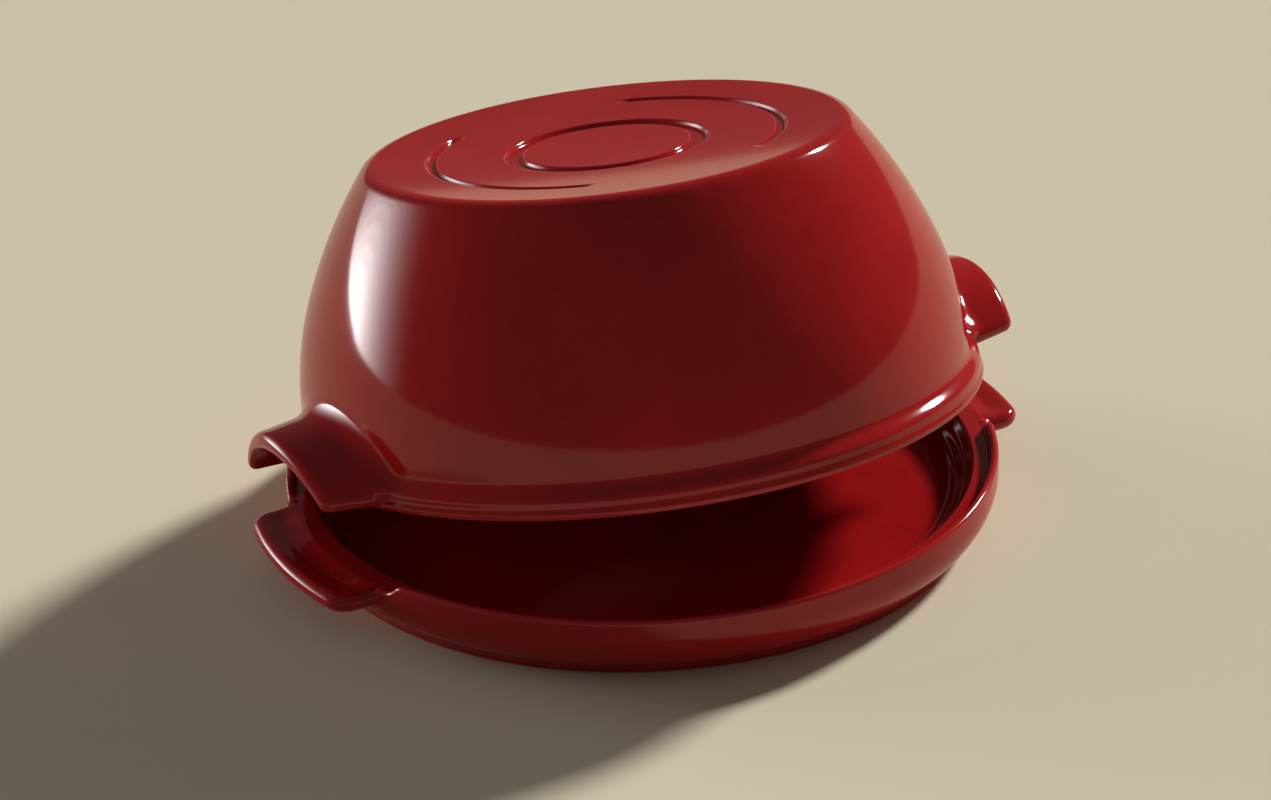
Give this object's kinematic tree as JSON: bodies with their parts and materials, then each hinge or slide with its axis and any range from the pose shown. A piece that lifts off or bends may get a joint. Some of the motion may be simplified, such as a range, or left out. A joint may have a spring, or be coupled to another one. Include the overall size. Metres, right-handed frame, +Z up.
{
  "type": "bread cloche",
  "caption": "Glazed stoneware bread cloche: a shallow round base with ledge handles and a seat, and a deep domed lid with arched handles that tips up from its back edge.",
  "frame": {"origin": "centre of the foot ring's circle, on the surface that the base stands on", "axes": "+Z up; +X through a pair of handles; +Y towards the back of the seat, about which the lid tips up, so that its open side is towards -Y"},
  "size_m": [0.317, 0.285, 0.1707],
  "materials": {
    "red_glaze": "deep red transparent glaze, high gloss, over pale stoneware"
  },
  "bodies": {
    "base": {"base": "red_glaze"},
    "lid": {"lid": "red_glaze"}
  },
  "joints": [
    {"name": "lid_tilt", "type": "hinge", "parent": "base", "child": "lid", "pos_m": [0, 0.1378, 0.028], "axis": [-1, 0, 0], "range_deg": [-10, 80]}
  ]
}
